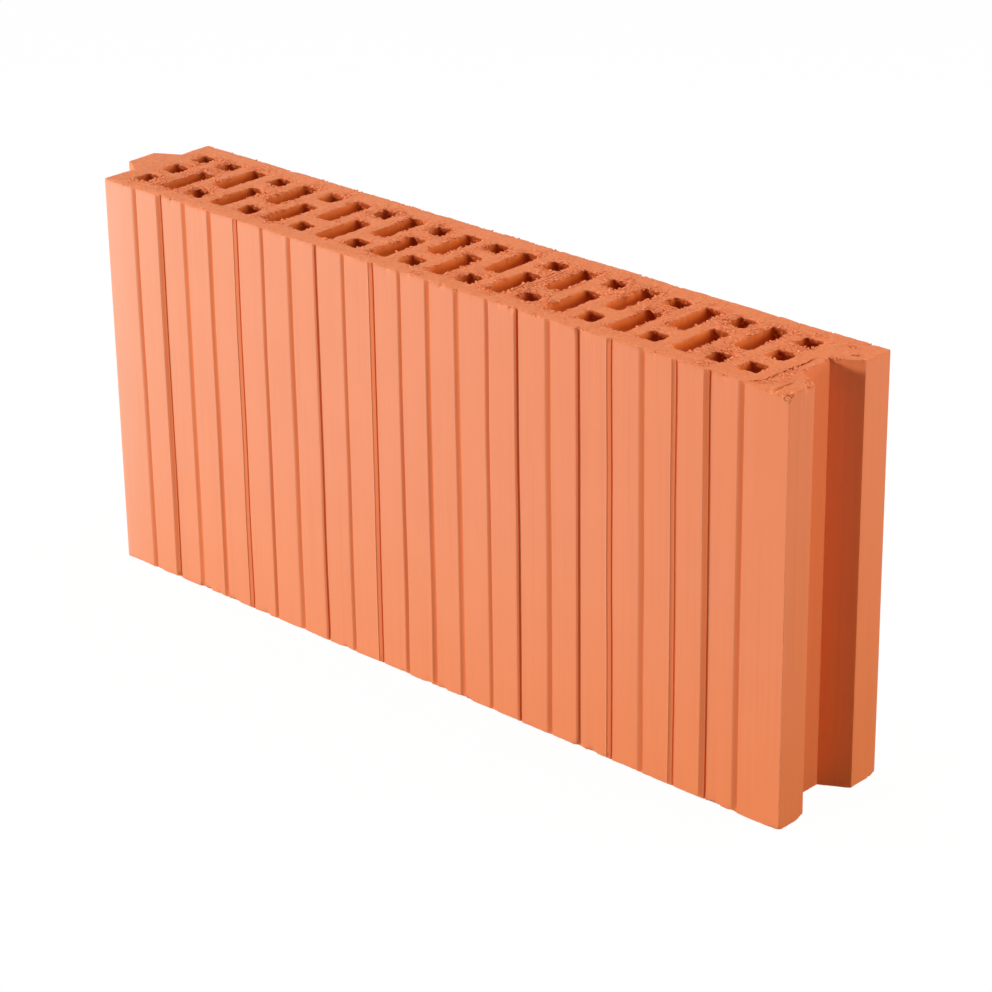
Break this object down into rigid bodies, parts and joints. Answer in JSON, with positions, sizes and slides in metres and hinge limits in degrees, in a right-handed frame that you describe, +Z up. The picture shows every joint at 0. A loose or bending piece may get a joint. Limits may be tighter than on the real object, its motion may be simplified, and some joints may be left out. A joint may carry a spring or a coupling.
{
  "type": "perforated clay partition block",
  "caption": "Tall narrow fired-clay block with upright slots and cells, plaster grooves on both faces, and a tongue and groove at its ends; builds thin walls.",
  "frame": {"origin": "middle of the block's footprint, tongue included, on the lower bed face", "axes": "+X along the wall towards the grooved end, +Y through the wall towards the back face, +Z up"},
  "size_m": [0.5108, 0.08, 0.238],
  "materials": {
    "fired_clay": "matte, unglazed"
  },
  "bodies": {
    "root": {"clay_block": "fired_clay"}
  },
  "joints": []
}
